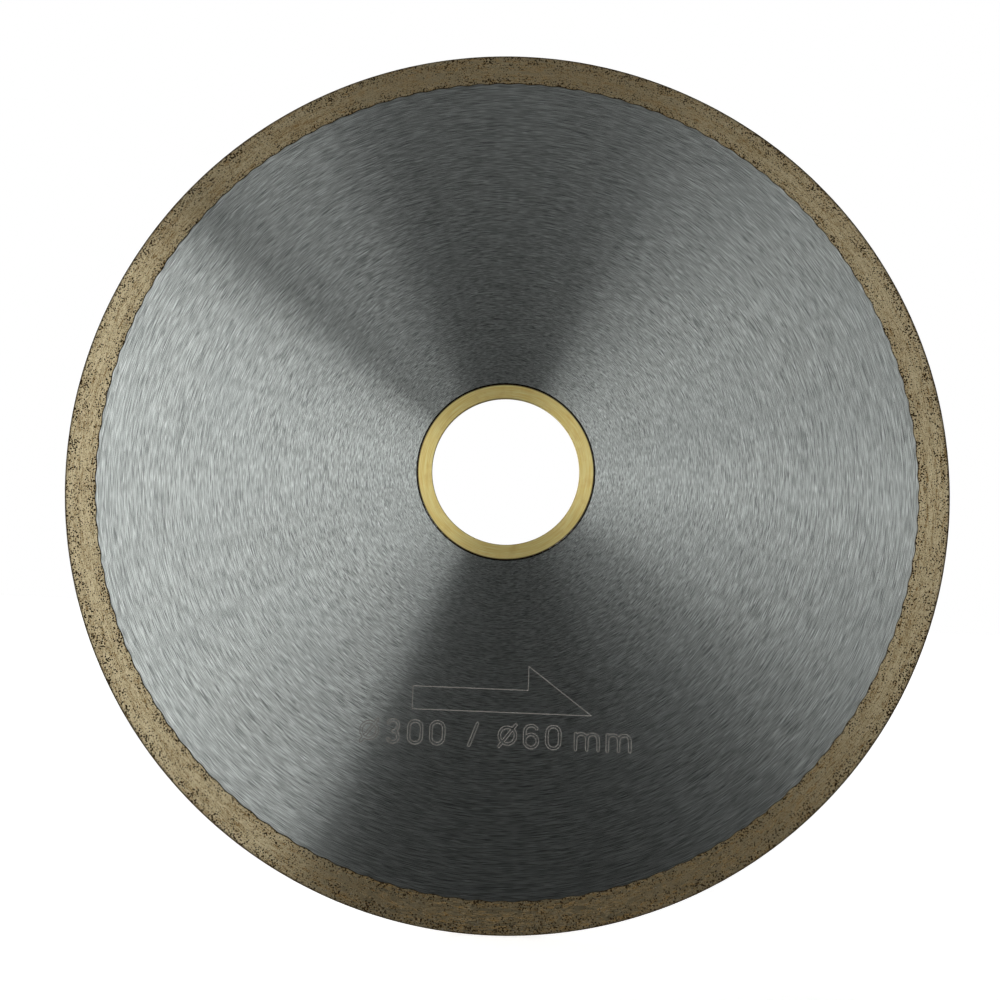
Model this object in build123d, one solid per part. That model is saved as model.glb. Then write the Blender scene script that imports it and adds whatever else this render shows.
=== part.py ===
from build123d import *

import os
from math import cos, sin, sqrt, tau
from random import Random

# A 300 mm continuous-rim diamond blade for a wet saw, standing upright.
# +Z is up and the blade's axis lies along Y.  The marked face looks towards -Y.
# The origin is the centre of the bore, midway through the thickness.

# Driving dimensions, in millimetres
BLADE_DIAMETER = 300.0
CORE_BORE_DIAMETER = 60.0
ARBOR_DIAMETER = 50.0
RIM_HEIGHT = 10.6
CORE_THICKNESS = 1.8
RIM_THICKNESS = 2.2
BUSH_THICKNESS = 1.6
BUSH_CLEARANCE = 0.05
BORE_CHAMFER = 0.15
RIM_EDGE_ROUND = 0.3

# Keyed joint line between steel and rim: a shallow wave all the way round
KEY_WAVES = 120
KEY_DEPTH = 0.4

# Engraving on the marked face
GROOVE_WIDTH = 0.3
GROOVE_DEPTH = 0.1
ARROW_LENGTH = 59.0
ARROW_TIP_X = 30.9
ARROW_BASE_Z = -80.0
ARROW_SHAFT_HEIGHT = 7.4
ARROW_HEAD_LENGTH = 21.0
ARROW_HEAD_HEIGHT = 15.2
LETTER_HEIGHT = 8.0
LETTER_STROKE = 1.0
TEXT_BASE_Z = -91.4

# Diamond crystals, a sample of those that stand in the rim's surface
CRYSTALS_PER_FACE = 60
CRYSTALS_ON_EDGE = 36
CRYSTAL_SIZE = 0.42
CRYSTAL_STANDS_OUT = 0.06
CRYSTAL_SEED = 7

BLADE_RADIUS = BLADE_DIAMETER / 2
CORE_RADIUS = BLADE_RADIUS - RIM_HEIGHT
MARKED_FACE = Plane.XZ.offset(CORE_THICKNESS / 2)


def polar(radius, turn):
    """Point in the blade's plane at this radius and angle."""
    return (radius * cos(turn), radius * sin(turn))


def keyed_disc():
    """Flat disc whose edge is the keyed joint line: rounded lands and hollows in turn."""
    step = tau / (2 * KEY_WAVES)
    arcs = []
    for i in range(2 * KEY_WAVES):
        swing = KEY_DEPTH / 2 if i % 2 == 0 else -KEY_DEPTH / 2
        start = polar(CORE_RADIUS, (i - 0.5) * step)
        middle = polar(CORE_RADIUS + swing, i * step)
        end = polar(CORE_RADIUS, (i + 0.5) * step)
        arcs.append(ThreePointArc(start, middle, end))
    return make_face(arcs)


def round_with_radius(radius):
    """Test that keeps only circular edges of this radius."""
    return lambda edge: edge.geom_type == GeomType.CIRCLE and abs(edge.radius - radius) < 0.01


def arrow_region():
    """Outline of the half-headed arrow that shows which way the blade turns."""
    tail_x = ARROW_TIP_X - ARROW_LENGTH
    shoulder_x = ARROW_TIP_X - ARROW_HEAD_LENGTH
    corners = [
        (tail_x, ARROW_BASE_Z),
        (tail_x, ARROW_BASE_Z + ARROW_SHAFT_HEIGHT),
        (shoulder_x, ARROW_BASE_Z + ARROW_SHAFT_HEIGHT),
        (shoulder_x, ARROW_BASE_Z + ARROW_HEAD_HEIGHT),
        (ARROW_TIP_X, ARROW_BASE_Z),
    ]
    return thick_lines([Line(a, b) for a, b in zip(corners, corners[1:] + corners[:1])], GROOVE_WIDTH)


def thick_lines(lines, width):
    """Flat region covered by a round pen of this width drawn along the lines."""
    region = Sketch()
    for line in lines:
        region += trace(line, line_width=width)
        for end in (line @ 0, line @ 1):
            region += Pos(end.X, end.Y) * Circle(width / 2)
    return region


def ring_line(x, y, r):
    """Centre line of a full circle, as two half rounds."""
    return [CenterArc((x, y), r, 0, 180), CenterArc((x, y), r, 180, 180)]


def oval(x, y, width, height):
    """Centre line of an upright oval: two straight sides and two half rounds."""
    r = width / 2
    side = height / 2 - r
    return [
        CenterArc((x, y + side), r, 0, 180),
        CenterArc((x, y - side), r, 180, 180),
        Line((x + r, y - side), (x + r, y + side)),
        Line((x - r, y - side), (x - r, y + side)),
    ]


# Each character's centre lines stand on y = 0 and start at x = 0.
INNER_HEIGHT = LETTER_HEIGHT - LETTER_STROKE
DIGIT_WIDTH = 4.2


def zero():
    return oval(DIGIT_WIDTH / 2, INNER_HEIGHT / 2, DIGIT_WIDTH, INNER_HEIGHT)


def three():
    r = INNER_HEIGHT / 4
    x = DIGIT_WIDTH / 2
    return [
        CenterArc((x, 3 * r), r, -90, 240),
        CenterArc((x, r), r, -150, 240),
    ]


def six():
    r = DIGIT_WIDTH / 2
    return ring_line(r, r, r) + [
        Line((0, r), (0, INNER_HEIGHT - r)),
        CenterArc((r, INNER_HEIGHT - r), r, 35, 145),
    ]


def diameter_sign():
    r = 0.38 * INNER_HEIGHT
    x, y = 1.1 * r, INNER_HEIGHT / 2
    return ring_line(x, y, r) + [Line((x - r, 0), (x + r, INNER_HEIGHT))]


def slash():
    return [Line((0, 0), (2.6, INNER_HEIGHT))]


def letter_m():
    leg = 0.72 * INNER_HEIGHT
    r = 1.85
    return [
        Line((0, 0), (0, leg)),
        CenterArc((r, leg - r), r, 0, 180),
        Line((2 * r, 0), (2 * r, leg - r)),
        CenterArc((3 * r, leg - r), r, 0, 180),
        Line((4 * r, 0), (4 * r, leg - r)),
    ]


# Outer diameter over bore diameter: each character and the room it takes
SIZE_TEXT = [
    (diameter_sign, 8.6),
    (three, 7.3),
    (zero, 7.3),
    (zero, 12.6),
    (slash, 9.6),
    (diameter_sign, 8.6),
    (six, 7.3),
    (zero, 9.4),
    (letter_m, 10.4),
    (letter_m, 8.4),
]


def text_grooves():
    """Double-line characters: the groove follows the edge of each thick stroke."""
    grooves = Sketch()
    x = -sum(room for _, room in SIZE_TEXT) / 2
    for shape, room in SIZE_TEXT:
        outside = thick_lines(shape(), LETTER_STROKE + GROOVE_WIDTH / 2)
        inside = thick_lines(shape(), LETTER_STROKE - GROOVE_WIDTH * 1.5)
        grooves += Pos(x, TEXT_BASE_Z + LETTER_STROKE / 2) * (outside - inside)
        x += room
    return grooves


def make_steel_core():
    """Tensioned steel disc with a 60 mm bore, a keyed edge and shallow engraving."""
    disc = keyed_disc() - Circle(CORE_BORE_DIAMETER / 2)
    core = extrude(Plane.XZ * disc, amount=CORE_THICKNESS / 2, both=True)
    bore_edges = core.edges().filter_by(round_with_radius(CORE_BORE_DIAMETER / 2))
    core = chamfer(bore_edges, BORE_CHAMFER)
    marks = MARKED_FACE * (arrow_region() + text_grooves())
    return core - extrude(marks, amount=GROOVE_DEPTH, dir=(0, 1, 0))


def make_diamond_rim():
    """Sintered bronze ring that grips the keyed edge and stands proud of both faces."""
    ring = Circle(BLADE_RADIUS) - keyed_disc()
    rim = extrude(Plane.XZ * ring, amount=RIM_THICKNESS / 2, both=True)
    outer_edges = rim.edges().filter_by(round_with_radius(BLADE_RADIUS))
    return fillet(outer_edges, RIM_EDGE_ROUND)


def make_reducing_bush():
    """Brass ring that takes the 60 mm bore down to a 50 mm arbor."""
    outer = CORE_BORE_DIAMETER / 2 - BUSH_CLEARANCE
    ring = Circle(outer) - Circle(ARBOR_DIAMETER / 2)
    bush = extrude(Plane.XZ * ring, amount=BUSH_THICKNESS / 2, both=True)
    return chamfer(bush.edges().filter_by(GeomType.CIRCLE), BORE_CHAMFER)


def make_crystal():
    """Cuboctahedron, the blocky shape of a saw diamond, centred on the origin.

    Its corners lie CRYSTAL_SIZE / sqrt(2) from its centre.
    """
    half = CRYSTAL_SIZE / 2
    faces = []
    for axis in range(3):
        for side in (-half, half):
            square = []
            for a, b in ((half, 0), (0, half), (-half, 0), (0, -half)):
                corner = [a, b]
                corner.insert(axis, side)
                square.append(tuple(corner))
            faces.append(Face(Wire.make_polygon(square)))
    for sx in (-half, half):
        for sy in (-half, half):
            for sz in (-half, half):
                corner = [(sx, sy, 0), (0, sy, sz), (sx, 0, sz)]
                faces.append(Face(Wire.make_polygon(corner)))
    return Solid(Shell(faces))


def make_diamond_grit():
    """Crystals seated in both side faces and in the cutting edge of the rim."""
    dice = Random(CRYSTAL_SEED)
    crystal = make_crystal()
    sunk = CRYSTAL_SIZE / sqrt(2) - CRYSTAL_STANDS_OUT
    margin = 2 * CRYSTAL_SIZE
    places = []
    for side in (-1, 1):
        for i in range(CRYSTALS_PER_FACE):
            radius = dice.uniform(CORE_RADIUS + margin, BLADE_RADIUS - margin)
            turn = tau * (i + dice.random()) / CRYSTALS_PER_FACE
            places.append((radius, turn, side * (RIM_THICKNESS / 2 - sunk)))
    for i in range(CRYSTALS_ON_EDGE):
        turn = tau * (i + dice.random()) / CRYSTALS_ON_EDGE
        places.append((BLADE_RADIUS - sunk, turn, dice.uniform(-0.5, 0.5)))
    grit = []
    for radius, turn, y in places:
        spin = Rot(dice.uniform(0, 90), dice.uniform(0, 90), dice.uniform(0, 90))
        grit.append(Pos(radius * cos(turn), y, radius * sin(turn)) * spin * crystal)
    return Compound(children=grit)


NODES = {
    "steel_core": make_steel_core,
    "diamond_rim": make_diamond_rim,
    "diamond_grit": make_diamond_grit,
    "reducing_bush": make_reducing_bush,
}

os.makedirs("parts", exist_ok=True)
for node, make in NODES.items():
    solid = make()
    export_step(solid, f"parts/{node}.step")
    print(node, "volume", round(solid.volume, 1), "mm3")
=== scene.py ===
# %% [markdown]
# # A diamond blade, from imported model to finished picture
# A continuous-rim diamond blade is a flat steel disc with a thin ring of sintered bronze and
# diamond round it. A brass bush in the middle lets a 60 mm bore sit on a 50 mm arbor. The packed
# model already holds the true sizes, so this lesson only adds the looks: a finely worn rim,
# thousands of small crystals, and metals that show how each surface was ground or turned.
# Everything is in metres. The blade stands upright, its axis lies along Y, and its marked face
# looks towards -Y.

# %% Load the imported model
import math
import random

import bpy
from mathutils import Euler, Matrix, Vector


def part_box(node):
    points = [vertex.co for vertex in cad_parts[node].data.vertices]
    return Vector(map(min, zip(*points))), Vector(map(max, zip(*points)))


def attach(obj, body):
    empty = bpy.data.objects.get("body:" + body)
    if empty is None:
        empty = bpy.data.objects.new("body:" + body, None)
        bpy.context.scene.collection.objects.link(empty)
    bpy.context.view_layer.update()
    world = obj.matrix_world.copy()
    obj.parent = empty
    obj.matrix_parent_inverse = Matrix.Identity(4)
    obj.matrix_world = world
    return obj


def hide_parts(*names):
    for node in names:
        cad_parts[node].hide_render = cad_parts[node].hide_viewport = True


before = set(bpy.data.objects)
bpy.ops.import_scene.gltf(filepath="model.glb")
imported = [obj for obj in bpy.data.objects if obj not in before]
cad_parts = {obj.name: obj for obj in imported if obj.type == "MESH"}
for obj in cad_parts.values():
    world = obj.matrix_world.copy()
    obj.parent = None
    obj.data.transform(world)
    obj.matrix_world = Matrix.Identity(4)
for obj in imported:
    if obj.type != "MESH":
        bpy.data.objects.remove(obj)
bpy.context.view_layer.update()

# %% [markdown]
# ## Sizes that everything else is worked out from
# The frame says how big each piece is. Reading the sizes from it, instead of typing them again,
# keeps the looks and the model together when the model changes.

# %% Read the sizes
MM = 0.001
BUSH_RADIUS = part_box("reducing_bush")[1].x
rim_low, rim_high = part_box("diamond_rim")
core_low, core_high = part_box("steel_core")
RIM_RADIUS = rim_high.x
RIM_HALF = rim_high.y
CORE_HALF = core_high.y
KEY_COUNT = 120
KEY_DEPTH = 0.4 * MM
CORE_RADIUS = core_high.x - KEY_DEPTH / 2
print("rim radius mm", round(RIM_RADIUS / MM, 2), "core radius mm", round(CORE_RADIUS / MM, 2))

# %% [markdown]
# ## Helpers
# The operators of edit mode act on whatever is selected, so each step starts from an empty
# selection. These helpers hold the few moves that come back in every step.


# %% Selection and mesh helpers
def only(obj):
    """Make this the one selected and active object."""
    bpy.ops.object.select_all(action="DESELECT")
    obj.select_set(True)
    bpy.context.view_layer.objects.active = obj


def select_vertices(obj, test):
    """In edit mode, select just the vertices whose place passes the test."""
    bpy.ops.mesh.select_mode(type="VERT")
    bpy.ops.mesh.select_all(action="DESELECT")
    bpy.ops.object.mode_set(mode="OBJECT")
    for vertex in obj.data.vertices:
        vertex.select = test(vertex.co)
    bpy.ops.object.mode_set(mode="EDIT")


def radius_of(place):
    """Distance from the blade's axis."""
    return math.hypot(place.x, place.z)


# %% [markdown]
# ## Camera
# The camera stands about 37 cm in front of the blade, a little below its centre, and looks
# slightly up. It is turned by about two degrees round the blade's axis, so the engraving runs
# slightly downhill. The small lens shift frames the blade without turning the camera away from
# it.

# %% Place the camera
CAMERA_PLACE = Vector((-7.4, -371.3, -46.6)) * MM
CAMERA_TILT = math.radians(8.21)
CAMERA_YAW = math.radians(0.47)
CAMERA_ROLL = math.radians(2.25)
CAMERA_SHIFT = (0.025, -0.049)
FOCAL_LENGTH_MM = 39.6
SENSOR_WIDTH_MM = 36

lens = bpy.data.cameras.new("studio_camera")
lens.lens = FOCAL_LENGTH_MM
lens.sensor_width = SENSOR_WIDTH_MM
lens.shift_x, lens.shift_y = CAMERA_SHIFT
lens.clip_start = 0.01
camera = bpy.data.objects.new("studio_camera", lens)
bpy.context.scene.collection.objects.link(camera)
camera.matrix_world = (
    Matrix.Rotation(-CAMERA_ROLL, 4, "Y")
    @ Matrix.Translation(CAMERA_PLACE)
    @ Matrix.Rotation(CAMERA_YAW, 4, "Z")
    @ Matrix.Rotation(math.radians(90) + CAMERA_TILT, 4, "X")
)
bpy.context.scene.camera = camera
print("camera at mm", [round(c / MM, 1) for c in camera.matrix_world.translation])


# %% [markdown]
# ## Material helpers
# Every finish here is a network of nodes. One small function adds a node, sets its plain values
# and joins its inputs in one call. The class after it keeps the nodes of one finish together.


# %% Add a node
def add_node(tree, kind, inputs, settings):
    """A shader node in this tree; inputs are (index or name, value or socket) pairs."""
    made = tree.nodes.new("ShaderNode" + kind)
    for name, value in settings.items():
        setattr(made, name, value)
    for place, value in inputs:
        if isinstance(value, bpy.types.NodeSocket):
            tree.links.new(value, made.inputs[place])
        else:
            made.inputs[place].default_value = value
    return made


# %% [markdown]
# Grinding and turning both leave marks that run round the axis. Two methods below serve them:
# `wound` draws a noise out along the direction of turning, and `circular_marks` makes the shader
# spread its light across that direction.

# %% A finish and its nodes
QUARTER_TURN = 0.25


class Finish:
    """One material and its node tree, with short ways to add and join nodes."""

    def __init__(self, name):
        self.material = bpy.data.materials.new(name)
        self.material.use_nodes = True
        self.tree = self.material.node_tree
        self.tree.nodes.clear()
        self.output = self.tree.nodes.new("ShaderNodeOutputMaterial")
        self.shader = self.tree.nodes.new("ShaderNodeBsdfPrincipled")
        self.tree.links.new(self.shader.outputs[0], self.output.inputs["Surface"])

    def set(self, **values):
        """Constants on the shader's own sockets, named with underscores."""
        for name, value in values.items():
            self.shader.inputs[name.replace("_", " ")].default_value = value

    def join(self, source, name):
        """Let a node drive one of the shader's sockets."""
        self.tree.links.new(source, self.shader.inputs[name])

    def node(self, kind, inputs=(), **settings):
        return add_node(self.tree, kind, inputs, settings)

    def math(self, operation, a, b=0.0, c=0.0):
        inputs = [(0, a), (1, b), (2, c)]
        return self.node("Math", inputs, operation=operation).outputs[0]

    def ramp(self, factor, *stops):
        """Colour ramp from (position, grey or colour) stops."""
        made = self.node("ValToRGB", [(0, factor)])
        elements = made.color_ramp.elements
        while len(elements) < len(stops):
            elements.new(0.5)
        for element, (position, shade) in zip(elements, stops):
            element.position = position
            element.color = (shade,) * 3 + (1,) if isinstance(shade, float) else (*shade, 1)
        return made.outputs[0]

    def mix(self, factor, a, b):
        """Shade a where the factor is 0, shade b where it is 1."""
        made = self.node("Mix", [(0, factor)], data_type="RGBA")
        for place, value in ((6, a), (7, b)):
            if isinstance(value, bpy.types.NodeSocket):
                self.tree.links.new(value, made.inputs[place])
            else:
                made.inputs[place].default_value = (*value, 1)
        return made.outputs[2]

    def noise(self, place, scale, detail=2.0, roughness=0.5):
        """Soft random cloud, about 0.5 on average."""
        inputs = [("Vector", place), ("Scale", scale), ("Detail", detail), ("Roughness", roughness)]
        return self.node("TexNoise", inputs).outputs["Fac"]

    def from_spots(self, place, scale):
        """Distance to the nearest of many scattered spots."""
        inputs = [("Vector", place), ("Scale", scale)]
        return self.node("TexVoronoi", inputs).outputs["Distance"]

    def place(self):
        """The point on the piece, in its own coordinates."""
        return self.node("TexCoord").outputs["Object"]

    def vector(self, operation, *inputs):
        return self.node("VectorMath", inputs, operation=operation).outputs

    def flat(self, place):
        """The point without its place along the blade's axis."""
        return self.vector("MULTIPLY", (0, place), (1, (1, 0, 1)))[0]

    def radius(self, place):
        """Distance of the point from the blade's axis."""
        return self.vector("LENGTH", (0, self.flat(place)))["Value"]

    def wound(self, place, radius, across, along):
        """Coordinates for marks that run round the axis.

        across is the marks' width in metres, along their length in radians. The point keeps its
        direction from the axis but moves onto one circle, and its radius becomes the height, so
        a noise read there is drawn out along the direction of turning, with no seam anywhere.
        """
        unit = self.vector("NORMALIZE", (0, self.flat(place)))[0]
        turns = self.vector("SCALE", (0, unit), ("Scale", 1 / along))[0]
        steps = self.math("MULTIPLY", radius, 1 / across)
        lift = self.node("CombineXYZ", [(1, steps)]).outputs[0]
        return self.vector("ADD", (0, turns), (1, lift))[0]

    def bump(self, height, distance):
        """Small relief that only bends the light."""
        inputs = [("Height", height), ("Distance", distance), ("Strength", 1.0)]
        self.join(self.node("Bump", inputs).outputs[0], "Normal")

    def circular_marks(self, strength):
        """Roughness that follows circles round the axis."""
        self.set(Anisotropic=strength, Anisotropic_Rotation=QUARTER_TURN)
        tangent = self.node("Tangent", direction_type="RADIAL", axis="Y")
        self.join(tangent.outputs[0], "Tangent")


# %% [markdown]
# ## The joint line
# Where the rim is pressed onto the core it stands a little proud, and the shadow in that step is
# painted as a hair-thin dark line. It follows the keys, so it is a wave: the core's mean radius
# plus a cosine with one period for every key. Both metals use the same painted line, so it stays
# one line across the joint.

# %% Make the joint line
def joint_shade_line(finish, place, radius):
    """One on the painted line of shade between steel and rim, zero elsewhere."""
    parts = finish.node("SeparateXYZ", [(0, place)]).outputs
    angle = finish.math("ARCTAN2", parts["Z"], parts["X"])
    wave = finish.math("COSINE", finish.math("MULTIPLY", angle, float(KEY_COUNT)))
    line = finish.math("MULTIPLY_ADD", wave, KEY_DEPTH / 2, CORE_RADIUS)
    gap = finish.math("ABSOLUTE", finish.math("SUBTRACT", radius, line))
    return finish.ramp(finish.math("DIVIDE", gap, MM), (0.07, 0.9), (0.19, 0.0))


# %% [markdown]
# ## Ground steel
# The disc is ground with a wheel while it turns, so its scratches are short arcs round the bore.
# Such a surface throws light out in a fan: each point shines only for a light that lies in line
# with the axis and that point. Anisotropic roughness does the same thing, if its direction
# follows the arcs, and that is what the Tangent node set to Radial gives. A picture of scratches
# can't, because it has no direction. Noise that is wound round the axis then adds the scratches
# that the eye can pick out.

# %% Make the ground steel
def ground_steel():
    steel = Finish("ground_steel")
    place = steel.place()
    radius = steel.radius(place)
    # Close scratches, broader bands and soft clouds, then a few bright scratches and dark pits
    fine = steel.noise(steel.wound(place, radius, 0.085 * MM, 0.044), 1.0, 1.0, 0.5)
    broad = steel.noise(steel.wound(place, radius, 0.6 * MM, 0.090), 1.0, 3.0, 0.6)
    cloud = steel.noise(place, 28.0, 3.0, 0.55)
    rare = steel.noise(steel.wound(place, radius, 0.14 * MM, 0.040), 1.0, 0.0)
    scratch = steel.ramp(rare, (0.66, 0.0), (0.76, 0.9))
    pits = steel.from_spots(place, 160.0)
    grain = steel.math("MULTIPLY_ADD", fine, 0.88, steel.math("MULTIPLY", broad, 0.12))
    tone = steel.ramp(grain, (0.42, (0.20, 0.213, 0.205)), (0.58, (0.79, 0.838, 0.807)))
    tone = steel.mix(steel.ramp(cloud, (0.35, 0.0), (0.70, 0.30)), tone, (0.46, 0.50, 0.49))
    tone = steel.mix(scratch, tone, (0.92, 0.95, 0.93))
    tone = steel.mix(steel.ramp(pits, (0.018, 0.75), (0.032, 0.0)), tone, (0.10, 0.09, 0.08))
    # Painted shade: the dark line in the step between the steel and the rim
    tone = steel.mix(joint_shade_line(steel, place, radius), tone, (0.05, 0.045, 0.04))
    # Painted shade: a thin dark ring where the bore meets the bush, for the shadow in the gap
    # between them
    inset = steel.math("DIVIDE", steel.math("SUBTRACT", radius, BUSH_RADIUS), MM)
    tone = steel.mix(steel.ramp(inset, (0.38, 1.0), (0.50, 0.0)), tone, (0.012, 0.011, 0.010))
    rough = steel.ramp(grain, (0.30, 0.37), (0.70, 0.30))
    steel.join(tone, "Base Color")
    steel.join(rough, "Roughness")
    steel.bump(grain, 0.010 * MM)
    steel.set(Metallic=1.0)
    steel.circular_marks(1.0)
    return steel.material


# %% [markdown]
# ## Frosted engraving
# The marks are cut by a laser, which leaves a pale and matt line with no direction in it. The
# grooves are real in the model, so their faces only need a finish of their own.

# %% Make the frosted finish of the grooves
def frosted_groove():
    frost = Finish("frosted_groove")
    place = frost.place()
    speckle = frost.noise(place, 6000.0, 2.0, 0.6)
    tone = frost.ramp(speckle, (0.3, (0.23, 0.22, 0.20)), (0.7, (0.43, 0.41, 0.38)))
    frost.join(tone, "Base Color")
    frost.join(frost.ramp(speckle, (0.3, 0.55), (0.7, 0.75)), "Roughness")
    frost.bump(speckle, 0.02 * MM)
    frost.set(Metallic=0.2, Specular_IOR_Level=0.2)
    return frost.material


# %% [markdown]
# The core carries both finishes. A face of it belongs to the engraving if it lies below the
# marked face, in the band that holds the arrow and the size.

# %% Dress the steel core
ENGRAVED_FROM, ENGRAVED_TO = 50 * MM, 120 * MM
JUST_BELOW = 0.01 * MM

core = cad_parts["steel_core"]
core.data.materials.clear()
core.data.materials.append(ground_steel())
core.data.materials.append(frosted_groove())
groove_faces = 0
for face in core.data.polygons:
    middle = face.center
    below_face = -CORE_HALF + JUST_BELOW < middle.y < -0.5 * CORE_HALF
    in_band = ENGRAVED_FROM < radius_of(middle) < ENGRAVED_TO
    face.material_index = int(below_face and in_band)
    groove_faces += face.material_index
print("faces in the engraving:", groove_faces)

# %% [markdown]
# ## Turned brass
# The bush is parted off in a lathe, so it carries fine rings and the same kind of fan as the
# steel, but weaker. Brass also dulls in soft brown patches where it has been handled.

# %% Make the turned brass
def turned_brass():
    brass = Finish("turned_brass")
    place = brass.place()
    radius = brass.radius(place)
    rings = brass.noise(brass.wound(place, radius, 0.22 * MM, 0.30), 1.0, 2.0, 0.6)
    stain = brass.noise(place, 180.0, 4.0, 0.6)
    tone = brass.ramp(rings, (0.32, (0.88, 0.66, 0.20)), (0.68, (1.0, 0.88, 0.40)))
    tone = brass.mix(brass.ramp(stain, (0.50, 0.0), (0.72, 0.50)), tone, (0.74, 0.50, 0.16))
    # Painted shade along both edges of the ring, at its bore and in the gap to the steel; the same
    # mask makes these edges rougher
    share = brass.math("DIVIDE", radius, BUSH_RADIUS)
    edge_shade = brass.ramp(share, (0.838, 0.65), (0.844, 0.0), (0.986, 0.0), (0.994, 1.0))
    tone = brass.mix(edge_shade, tone, (0.10, 0.060, 0.022))
    brass.join(tone, "Base Color")
    gloss = brass.ramp(stain, (0.3, 0.36), (0.7, 0.46))
    brass.join(brass.mix(edge_shade, gloss, (0.7, 0.7, 0.7)), "Roughness")
    brass.bump(rings, 0.006 * MM)
    brass.set(Metallic=0.68)
    brass.circular_marks(0.8)
    return brass.material


# %% Dress the bush
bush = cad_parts["reducing_bush"]
bush.data.materials.clear()
bush.data.materials.append(turned_brass())
print("bush dressed, outer radius mm", round(BUSH_RADIUS / MM, 2))

# %% [markdown]
# ## Sintered bronze
# The rim is pressed from bronze and iron powder with diamond in it, and then dressed with a
# grinding wheel. It shows three things at once: pale rubbed metal, a brown film in fine streaks
# round the blade, and dark pores that are thickest near the outer edge and along the joint with
# the steel. The pores are the middles of small cells, and a ramp on the radius says how large
# they may grow.

# %% Make the sintered bronze
def sintered_bronze():
    bronze = Finish("sintered_bronze")
    place = bronze.place()
    radius = bronze.radius(place)
    streak = bronze.noise(bronze.wound(place, radius, 0.12 * MM, 0.018), 1.0, 2.0, 0.6)
    band = bronze.noise(bronze.wound(place, radius, 1.4 * MM, 0.10), 1.0, 2.0, 0.5)
    blotch = bronze.noise(place, 420.0, 3.0, 0.6)
    grain = bronze.noise(place, 3000.0, 2.0, 0.6)
    # Pores: 0 at the joint with the steel and 1 at the cutting edge
    share = bronze.math("SUBTRACT", radius, CORE_RADIUS)
    share = bronze.math("DIVIDE", share, RIM_RADIUS - CORE_RADIUS)
    crowd = bronze.ramp(share, (0.0, 1.0), (0.15, 0.85), (0.40, 0.55), (0.62, 0.80), (0.90, 1.0))
    pore = bronze.from_spots(place, 1400.0)
    limit = bronze.math("MULTIPLY", crowd, bronze.ramp(blotch, (0.36, 0.26), (0.66, 0.54)))
    pores_and_shade = bronze.math("LESS_THAN", pore, limit)
    # Painted shade along the joint with the steel joins the real pores
    pores_and_shade = bronze.math("MAXIMUM", pores_and_shade, joint_shade_line(bronze, place, radius))
    # Painted shade on the rounded corner between the side face and the cutting edge
    height = bronze.math("ABSOLUTE", bronze.node("SeparateXYZ", [(0, place)]).outputs["Y"])
    sunk = bronze.math("DIVIDE", bronze.math("SUBTRACT", RIM_HALF, height), MM)
    corner = bronze.ramp(sunk, (0.015, 0.0), (0.04, 0.9), (0.20, 0.9), (0.30, 0.0))
    corner = bronze.math("MULTIPLY", corner, bronze.ramp(share, (0.90, 0.0), (0.96, 1.0)))
    pores_and_shade = bronze.math("MAXIMUM", pores_and_shade, corner)
    # Brown film between the bright, rubbed grains
    film = bronze.math("MULTIPLY_ADD", grain, 0.3, bronze.math("MULTIPLY", streak, 0.7))
    film = bronze.math("MULTIPLY_ADD", band, 0.15, film)
    film = bronze.ramp(film, (0.56, 0.03), (0.65, 0.95))
    cover = bronze.math("MAXIMUM", film, pores_and_shade)
    bright = bronze.ramp(streak, (0.38, (0.56, 0.475, 0.29)), (0.62, (0.88, 0.78, 0.52)))
    tone = bronze.mix(film, bright, (0.180, 0.090, 0.010))
    # Near black on the pores and on the painted shade
    tone = bronze.mix(pores_and_shade, tone, (0.030, 0.018, 0.007))
    bronze.join(tone, "Base Color")
    bronze.join(bronze.ramp(cover, (0.0, 0.34), (0.8, 0.36), (1.0, 0.60)), "Roughness")
    bronze.join(bronze.ramp(cover, (0.0, 1.0), (1.0, 0.10)), "Metallic")
    relief = bronze.math("SUBTRACT", bronze.math("MULTIPLY", streak, 0.5), pores_and_shade)
    bronze.bump(relief, 0.02 * MM)
    bronze.set(Specular_IOR_Level=0.05)
    bronze.circular_marks(1.0)
    return bronze.material


# %% [markdown]
# ## The rim
# The rim could be a plain extruded ring, but then every edge is sharp and its joint with the
# steel is a clean circle. The real one has keys along the joint, rounded corners, and a slightly
# uneven face. Here its section is drawn as a small flat outline, spun round the axis, keyed by
# scaling every second column of the inner wall, and smoothed with a subdivision surface.
# Smoothing pulls a column back to a third of its throw, so the throw is three times the depth
# that is wanted.

# %% Draw the section of the rim
KEY_SEAT = 0.08 * MM
COLUMNS = 2 * KEY_COUNT
INNER = CORE_RADIUS - KEY_SEAT
PROUD = RIM_HALF - CORE_HALF
half_section = [
    (INNER, 0.45 * CORE_HALF),
    (INNER, CORE_HALF + 0.35 * PROUD),
    (INNER + 0.10 * MM, RIM_HALF - 0.01 * MM),
    (INNER + 0.45 * MM, RIM_HALF),
    (INNER + 2.6 * MM, RIM_HALF),
    (INNER + 5.3 * MM, RIM_HALF),
    (INNER + 8.0 * MM, RIM_HALF),
    (RIM_RADIUS - 0.50 * MM, RIM_HALF),
    (RIM_RADIUS - 0.10 * MM, RIM_HALF - 0.08 * MM),
    (RIM_RADIUS - 0.02 * MM, RIM_HALF - 0.45 * MM),
]
section = half_section + [(r, -y) for r, y in reversed(half_section)]

bpy.ops.object.select_all(action="DESELECT")
bpy.ops.mesh.primitive_circle_add(vertices=len(section), radius=1, fill_type="NOTHING")
rim = bpy.context.active_object
rim.name = "sintered_rim"
rim.data.name = "sintered_rim"
for vertex, (r, y) in zip(rim.data.vertices, section):
    vertex.co = (r, y, 0)
print("points in the section:", len(section))

# %% Spin the section into a ring
MERGE_WITHIN = 0.001 * MM

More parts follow.
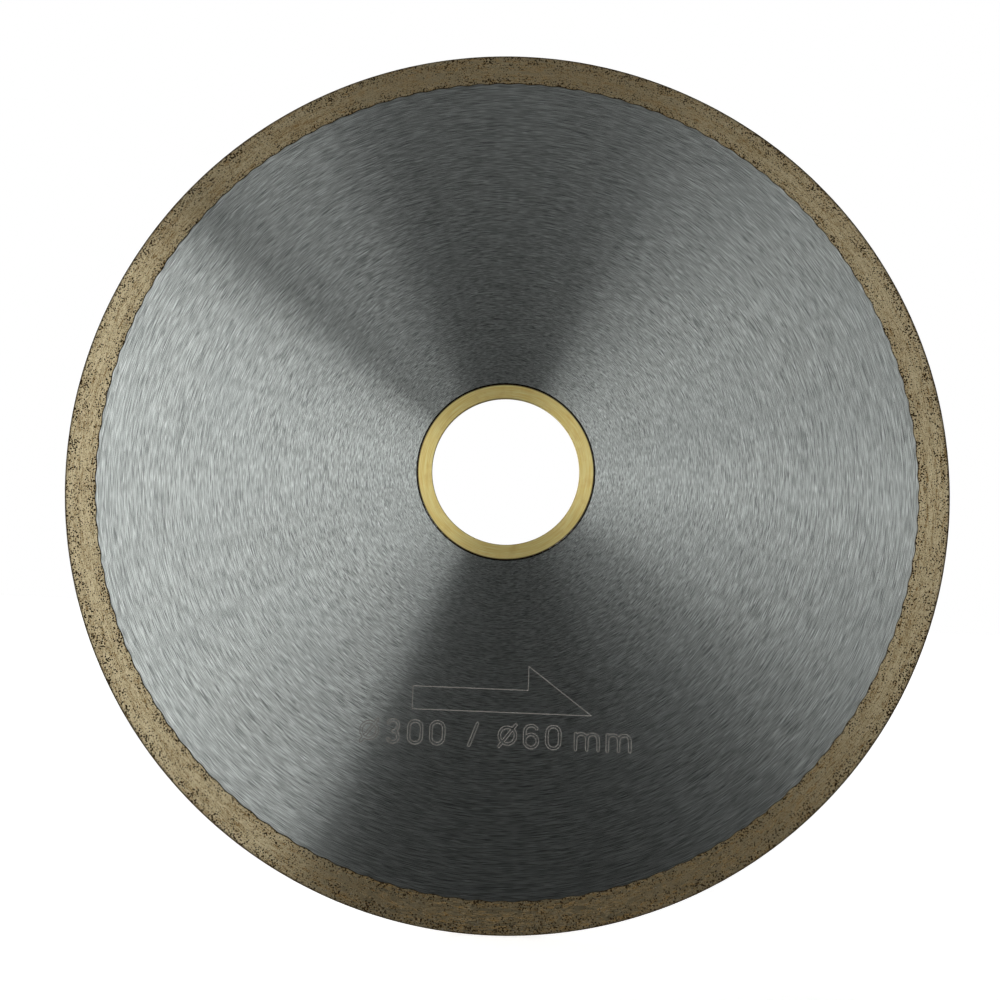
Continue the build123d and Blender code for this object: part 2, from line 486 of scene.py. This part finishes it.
only(rim)
bpy.ops.object.mode_set(mode="EDIT")
bpy.ops.mesh.select_all(action="SELECT")
bpy.ops.mesh.spin(steps=COLUMNS, angle=math.tau, center=(0, 0, 0), axis=(0, 1, 0))
bpy.ops.mesh.select_all(action="SELECT")
bpy.ops.mesh.remove_doubles(threshold=MERGE_WITHIN)
bpy.ops.mesh.normals_make_consistent(inside=False)
bpy.ops.object.mode_set(mode="OBJECT")
print("ring of", len(rim.data.polygons), "faces")

# %% Key the inner wall
THROW = 3 * KEY_DEPTH / 2
NEAR_INNER_WALL = INNER + 0.2 * MM


def column_of(place):
    """Which column of the ring a point belongs to, counted round from +X."""
    turn = math.atan2(place.z, place.x) % math.tau
    return round(turn / math.tau * COLUMNS) % COLUMNS


bpy.ops.object.mode_set(mode="EDIT")
for parity, swing in ((0, THROW), (1, -THROW)):
    select_vertices(rim, lambda p: radius_of(p) < NEAR_INNER_WALL and column_of(p) % 2 == parity)
    scale = 1 + swing / INNER
    bpy.ops.transform.resize(value=(scale, 1, scale), center_override=(0, 0, 0))
bpy.ops.object.mode_set(mode="OBJECT")
print("keys cut:", KEY_COUNT)

# %% Smooth the ring
SMOOTHING = 2

smooth = rim.modifiers.new("smooth", "SUBSURF")
smooth.levels = smooth.render_levels = SMOOTHING
bpy.ops.object.modifier_apply(modifier=smooth.name)
bpy.ops.object.shade_smooth()
print("smoothed rim faces:", len(rim.data.polygons))

# %% [markdown]
# Pressed powder is never quite flat. A cloud texture of a few millimetres sinks the face by
# hundredths of a millimetre, and never raises it, so the rim stays inside its true size.

# %% Give the rim an uneven, worn face
RELIEF_SPACING = 2.5 * MM
RELIEF_DEPTH = 0.05 * MM

relief = bpy.data.textures.new("pressed_powder_relief", "CLOUDS")
relief.noise_scale = RELIEF_SPACING
relief.noise_depth = 2
uneven = rim.modifiers.new("uneven", "DISPLACE")
uneven.texture = relief
uneven.texture_coords = "LOCAL"
uneven.mid_level = 1.0
uneven.strength = RELIEF_DEPTH
bpy.ops.object.modifier_apply(modifier=uneven.name)

# %% Dress the rim and let it ride the blade
rim.data.materials.append(sintered_bronze())
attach(rim, "blade")
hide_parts("diamond_rim")
print("rim faces:", len(rim.data.polygons))

# %% [markdown]
# ## Diamond crystals
# Saw diamonds are blocky crystals of about 0.4 mm, dark yellow to brown, and each sits in the
# bronze with only its top showing. One crystal is modelled: a cube whose eight corners are
# bevelled away, as they are on a grown crystal. It is then copied thousands of times with a
# seeded random place, turn and size. They crowd towards the outer edge and along the steel, as
# the pores do. With so few faces each, thousands of them stay light.

# %% Model one crystal
CORNER_BEVEL = 0.36

bpy.ops.object.select_all(action="DESELECT")
bpy.ops.mesh.primitive_cube_add(size=1)
crystal = bpy.context.active_object
bpy.ops.object.mode_set(mode="EDIT")
bpy.ops.mesh.select_all(action="SELECT")
bpy.ops.mesh.bevel(offset=CORNER_BEVEL, affect="VERTICES", segments=1)
bpy.ops.object.mode_set(mode="OBJECT")
crystal_points = [vertex.co.copy() for vertex in crystal.data.vertices]
crystal_faces = [tuple(face.vertices) for face in crystal.data.polygons]
crystal_reach = max(point.length for point in crystal_points)
bpy.data.objects.remove(crystal)
print("crystal has", len(crystal_points), "corners and", len(crystal_faces), "faces")

# %% [markdown]
# A group starts from a rule that picks one spot on the surface. Each crystal gets its own size
# and turn there, and is pushed in until only a few hundredths of a millimetre show.

# %% Build a group of crystals
dice = random.Random(11)
SMALLEST, LARGEST = 0.26, 0.46
SHOWS = 0.05 * MM


def crystal_group(name, count, place_one):
    """One piece of many crystals; place_one gives a surface point and its outward direction."""
    points, faces = [], []
    for _ in range(count):
        size = dice.uniform(SMALLEST, LARGEST) * MM
        where, outward = place_one()
        centre = where - outward * (crystal_reach * size - dice.uniform(0.3, 1.0) * SHOWS)
        turn = Euler([dice.uniform(0, math.tau) for _ in range(3)]).to_matrix()
        first = len(points)
        points += [centre + turn @ (corner * size) for corner in crystal_points]
        faces += [tuple(first + index for index in face) for face in crystal_faces]
    mesh = bpy.data.meshes.new(name)
    mesh.from_pydata(points, [], faces)
    group = bpy.data.objects.new(name, mesh)
    bpy.context.scene.collection.objects.link(group)
    return group


# %% Pick a spot on a side face
BESIDE_STEEL = 0.5 * MM
BESIDE_EDGE = 0.6 * MM
FEWEST_AT = 0.4


def on_face(side):
    """A random spot on one side face, likelier near the outer edge and beside the steel."""
    start = CORE_RADIUS + BESIDE_STEEL
    width = RIM_RADIUS - BESIDE_EDGE - start

    def pick():
        while True:
            share = dice.random()
            crowding = 0.25 + 0.75 * abs(share - FEWEST_AT) / (1 - FEWEST_AT)
            if dice.random() < crowding:
                break
        r = start + share * width
        turn = dice.uniform(0, math.tau)
        spot = Vector((r * math.cos(turn), side * RIM_HALF, r * math.sin(turn)))
        return spot, Vector((0, side, 0))
    return pick


# %% Pick a spot on the cutting edge
EDGE_WEAR = 0.06 * MM


def on_edge():
    """A random spot on the cutting edge."""
    turn = dice.uniform(0, math.tau)
    outward = Vector((math.cos(turn), 0, math.sin(turn)))
    y = dice.uniform(-0.7, 0.7) * RIM_HALF
    return outward * (RIM_RADIUS - EDGE_WEAR) + Vector((0, y, 0)), outward


# %% [markdown]
# Diamond for saws is a dull yellow to brown, glossy on its faces, and looks nearly black where it
# sits deep. A soft noise gives each crystal its own tint.

# %% Make the diamond finish
def saw_diamond():
    gem = Finish("saw_diamond")
    place = gem.place()
    tint = gem.noise(place, 900.0, 1.0)
    deep, brown, yellow = (0.030, 0.022, 0.012), (0.10, 0.075, 0.035), (0.34, 0.28, 0.12)
    gem.join(gem.ramp(tint, (0.35, deep), (0.62, brown), (0.75, yellow)), "Base Color")
    gem.join(gem.ramp(tint, (0.3, 0.18), (0.7, 0.38)), "Roughness")
    gem.set(IOR=2.0)
    return gem.material


# %% Scatter the crystals
gem_finish = saw_diamond()
FACE_CRYSTALS = 4200
EDGE_CRYSTALS = 1100
for name, count, pick in (
    ("crystals_marked_side", FACE_CRYSTALS, on_face(-1)),
    ("crystals_plain_side", FACE_CRYSTALS, on_face(1)),
    ("crystals_cutting_edge", EDGE_CRYSTALS, on_edge),
):
    group = crystal_group(name, count, pick)
    group.data.materials.append(gem_finish)
    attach(group, "blade")
    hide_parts("diamond_grit")
    print(name, len(group.data.polygons), "faces")

# %% [markdown]
# ## Studio
# The blade stands on a pale floor in front of a white surround, lit mostly from one large window
# on its left. A disc that is ground in circles mirrors such a window twice, as a fan: once
# towards the window and once on the far side. So the fan's bright sectors end where the window
# ends, and nothing shines above or below. An area light could be the window, but it thins out
# towards its corners, so the surround itself carries it: a patch of directions between two angles
# round the blade's axis. Weaker patches stand for the room on the right and above. The same
# patches are repeated behind the blade, so its back is lit too. The camera's own eye sees plain
# white instead.

# %% Floor
FLOOR_SIZE = 40.0
bpy.ops.object.select_all(action="DESELECT")
bpy.ops.mesh.primitive_plane_add(size=FLOOR_SIZE, location=(0, 0, rim_low.z))
floor = bpy.context.active_object
floor.name = "studio_floor"
# The floor is only seen: it sends no light of its own back to the blade
floor.visible_glossy = False
floor.visible_diffuse = False
floor.visible_shadow = False
paper = Finish("pale_paper")
paper.join(paper.ramp(paper.noise(paper.place(), 3.0), (0.3, 0.86), (0.7, 0.90)), "Base Color")
paper.set(Roughness=0.9, Emission_Color=(1, 1, 1, 1), Emission_Strength=0.72)
floor.data.materials.append(paper.material)
print("floor at z mm", round(rim_low.z / MM, 1))

# %% Start the surround
world = bpy.data.worlds.new("studio_surround")
bpy.context.scene.world = world
world.use_nodes = True
world.node_tree.nodes.clear()


def sky(kind, inputs=(), **settings):
    return add_node(world.node_tree, kind, inputs, settings)


def sky_math(operation, a, b=0.0):
    return sky("Math", [(0, a), (1, b)], operation=operation).outputs[0]


def between(value, low, high, edge):
    """One inside the range, falling softly to zero over the edge on both sides."""
    rise = [(0, value), (1, low - edge), (2, low + edge)]
    fall = [(0, value), (1, high - edge), (2, high + edge), (3, 1), (4, 0)]
    up = sky("MapRange", rise, interpolation_type="SMOOTHSTEP").outputs[0]
    down = sky("MapRange", fall, interpolation_type="SMOOTHSTEP").outputs[0]
    return sky_math("MULTIPLY", up, down)


# %% [markdown]
# Two angles say where a ray goes. One runs round the blade's axis, anticlockwise from straight
# up, from -180 to 180 degrees. The other is measured away from the axis: 0 straight in front or
# behind, 90 in the blade's own plane.

# %% Measure the two angles
direction = sky("SeparateXYZ", [(0, sky("TexCoord").outputs["Generated"])]).outputs
to_degrees = 180 / math.pi
leftwards = sky_math("MULTIPLY", direction["X"], -1.0)
round_axis = sky_math("MULTIPLY", sky_math("ARCTAN2", leftwards, direction["Z"]), to_degrees)
forwards = sky_math("ABSOLUTE", direction["Y"])
off_axis = sky_math("MULTIPLY", sky_math("ARCCOSINE", forwards), to_degrees)

# %% Hang the patches of light
OFF_AXIS_SOFTNESS = 3.0
# name: (from, to) round the axis, (from, to) off the axis, softness, brightness
PATCHES = {
    "left window": ((47.5, 150), (28, 100), 2.0, 2.00),
    "left window, near": ((47.5, 122), (12, 30), 4.0, 0.80),
    "room on the right": ((-127, -76), (28, 100), 4.0, 0.50),
    "ceiling over the window": ((20, 40), (24, 48), 3.0, 1.30),
    "ceiling": ((-26, 20), (42, 64), 4.0, 0.90),
    "near the camera": ((-80, -27), (14, 30), 4.0, 0.95),
}
total = 0.0
for (start, stop), (near, far), softness, brightness in PATCHES.values():
    sector = between(round_axis, start, stop, softness)
    patch = sky_math("MULTIPLY", sector, between(off_axis, near, far, OFF_AXIS_SOFTNESS))
    total = sky_math("ADD", total, sky_math("MULTIPLY", patch, brightness))
print("patches in the surround:", len(PATCHES))

# %% Show plain white to the camera and the patches to the metal
unseen = sky("Background", [(0, (1, 1, 1, 1)), (1, total)])
seen = sky("Background", [(0, (1, 1, 1, 1)), (1, 1.0)])
is_camera = sky("LightPath").outputs["Is Camera Ray"]
chooser = sky("MixShader", [(0, is_camera), (1, unseen.outputs[0]), (2, seen.outputs[0])])
sky("OutputWorld", [(0, chooser.outputs[0])])
bpy.context.scene.view_settings.view_transform = "Standard"
print("surround hung, view transform", bpy.context.scene.view_settings.view_transform)
